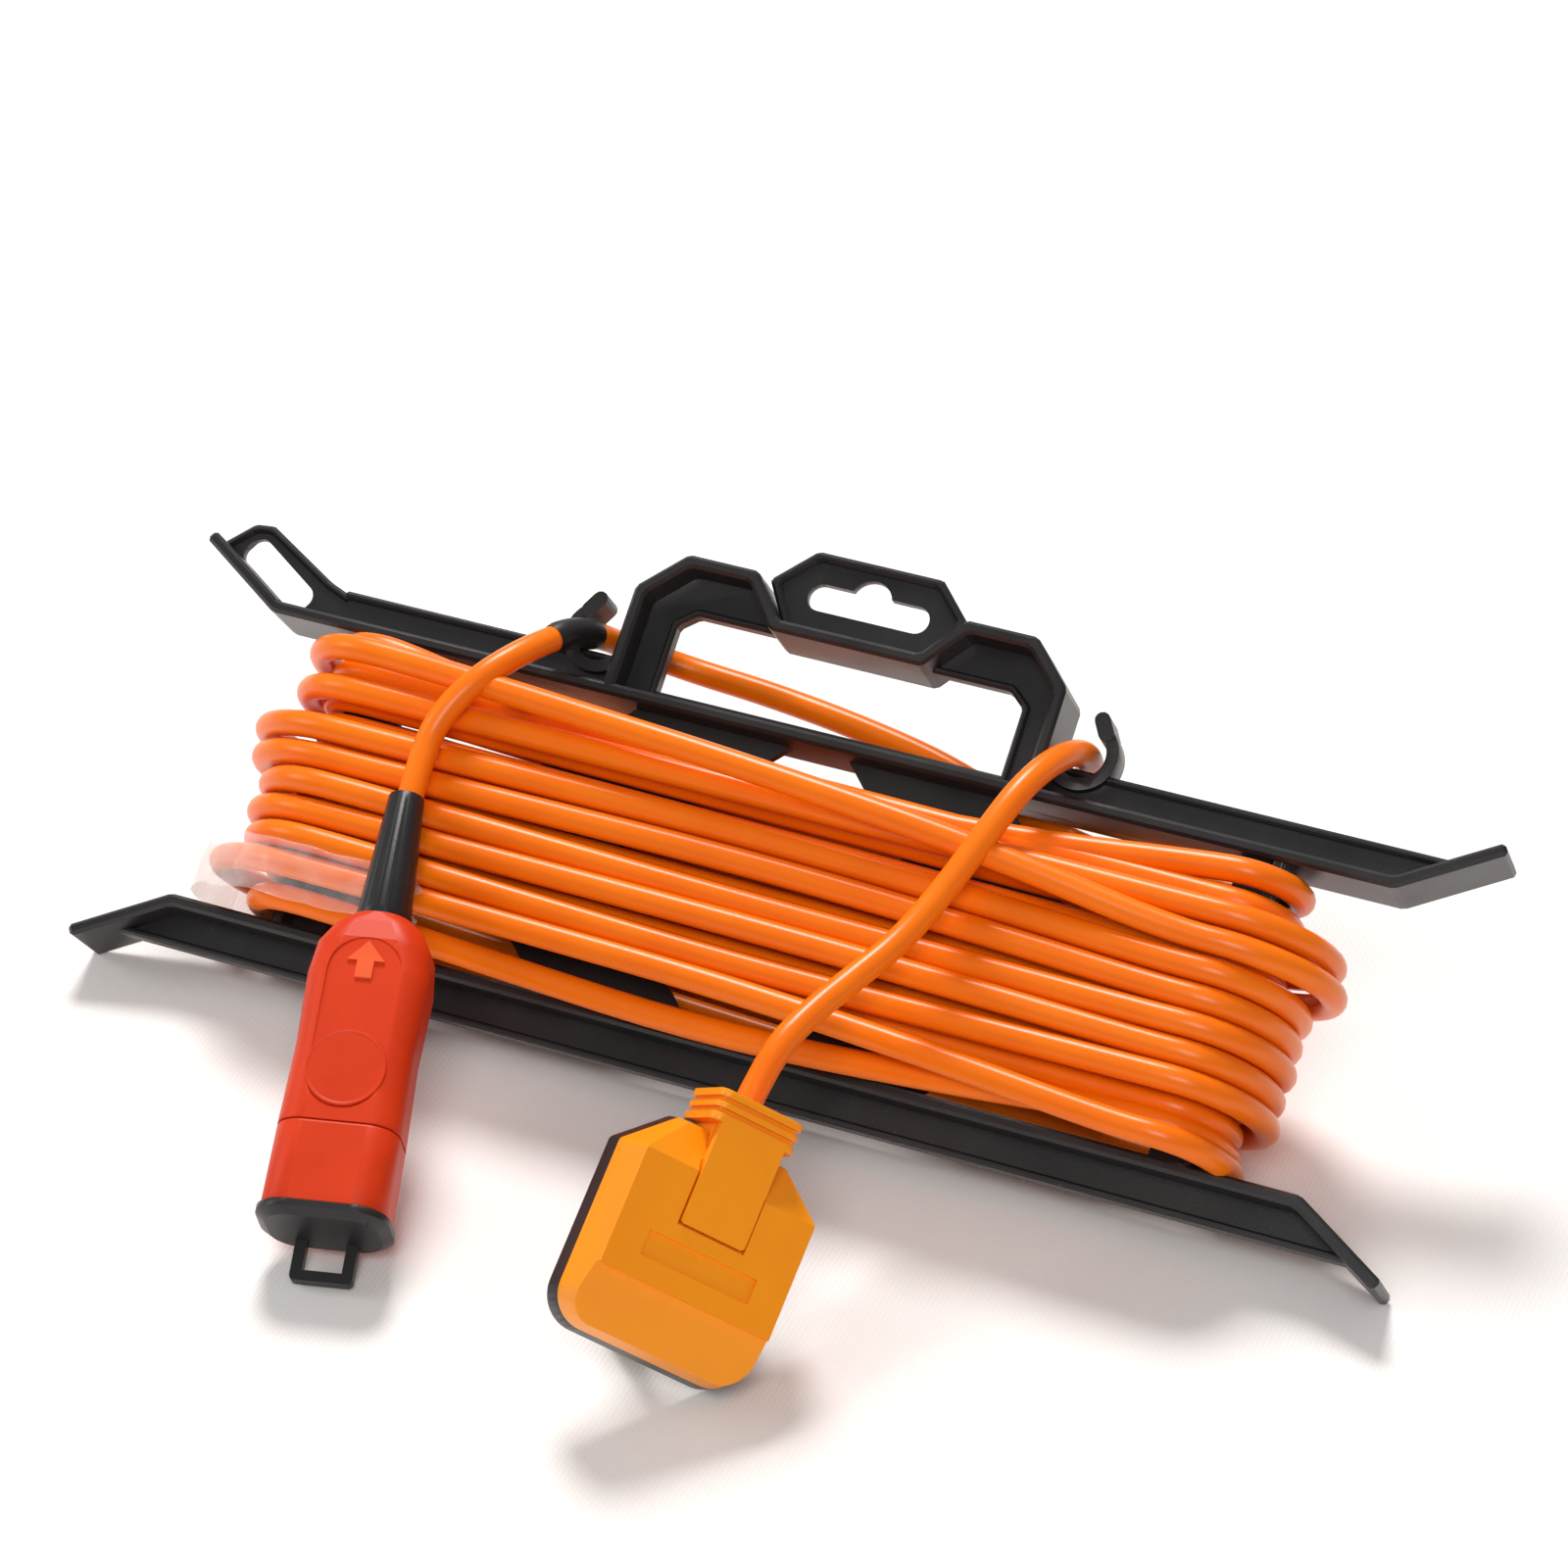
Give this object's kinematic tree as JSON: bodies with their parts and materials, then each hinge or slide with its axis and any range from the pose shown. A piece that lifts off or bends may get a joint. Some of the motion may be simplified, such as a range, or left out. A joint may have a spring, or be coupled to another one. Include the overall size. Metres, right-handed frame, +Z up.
{
  "type": "extension cord",
  "caption": "Mains extension cord wound round an H-shaped plastic cord holder, with a fused plug, an in-line socket with a pull-off end cap, and a carrying handle.",
  "frame": {"origin": "centre of the cord holder's footprint, at the height of its lowest points on the floor", "axes": "+X along the holder's rails toward the plug's cord clip, -Y toward the side where plug and socket lie, +Z up; the holder leans back so that its face looks up and toward -Y"},
  "size_m": [0.3304, 0.2075, 0.0941],
  "materials": {
    "holder_black": "moulded satin",
    "cord_orange": "smooth PVC sheath",
    "plug_orange": "smooth moulded",
    "socket_red": "fine satin",
    "black_rubber": "satin",
    "pin_brass": "drawn",
    "steel_screw": "zinc plated",
    "fuse_ceramic": "plain",
    "clear_film": "clear film"
  },
  "bodies": {
    "cord_set": {"winding_frame": "holder_black", "cord_winding": "cord_orange", "cord_plug_tail": "cord_orange", "cord_socket_tail": "cord_orange", "cord_marker_sleeve": "black_rubber", "clear_film_band": "clear_film", "plug_base": "black_rubber", "plug_cover": "plug_orange", "plug_cable_sleeve": "plug_orange", "pin_earth": "pin_brass", "pin_neutral": "pin_brass", "pin_live": "pin_brass", "pin_sleeves": "black_rubber", "terminal_screws": "pin_brass", "fuse_body": "fuse_ceramic", "fuse_caps": "pin_brass", "fuse_clips": "pin_brass", "plug_cord_grip": "black_rubber", "plug_grip_screws": "steel_screw", "plug_cover_screw": "steel_screw", "connector_body": "socket_red", "connector_nose": "socket_red", "connector_insert": "black_rubber", "connector_boot": "black_rubber", "contact_tubes": "pin_brass", "contact_screws": "pin_brass", "connector_cable_clamp": "black_rubber", "clamp_screws": "steel_screw", "body_screw": "steel_screw"},
    "socket_end_cap": {"end_cap": "black_rubber"}
  },
  "joints": [
    {"name": "end_cap_slide", "type": "slide", "parent": "cord_set", "child": "socket_end_cap", "axis": [0.2194, -0.8656, -0.4501], "range_m": [0, 0.012]}
  ]
}
